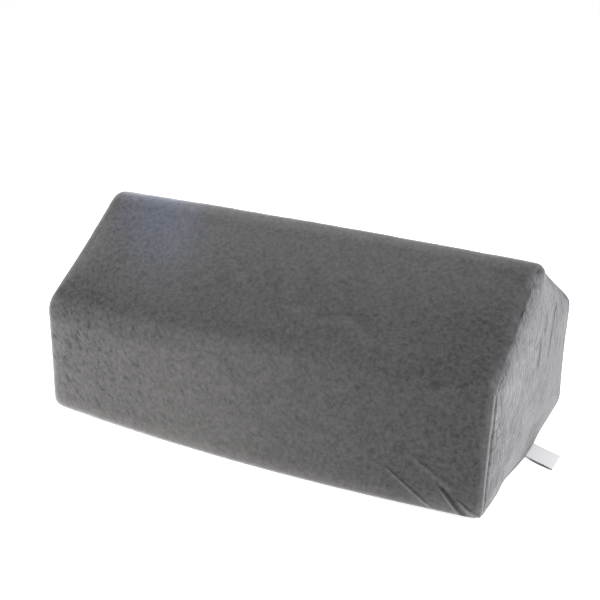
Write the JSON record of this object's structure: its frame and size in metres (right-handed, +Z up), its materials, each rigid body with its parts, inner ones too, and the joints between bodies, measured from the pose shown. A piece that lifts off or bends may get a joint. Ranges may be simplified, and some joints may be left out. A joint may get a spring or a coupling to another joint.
{
  "type": "knee wedge pillow",
  "caption": "Long five-sided wedge pillow with a ridge, two slopes and upright walls, in a close velour cover with a folded label at one end.",
  "frame": {"origin": "on the flat underside, below the middle of the ridge's length", "axes": "+X along the ridge towards the end with the label, -Y out of the tall front wall, +Z up"},
  "size_m": [0.5363, 0.3022, 0.2163],
  "materials": {
    "velour": "short-napped grey velour, soft and mottled",
    "woven_tape": "off-white woven satin tape"
  },
  "bodies": {
    "root": {"filled_body": "velour", "end_panel_left": "velour", "end_panel_right": "velour", "label": "woven_tape"}
  },
  "joints": []
}
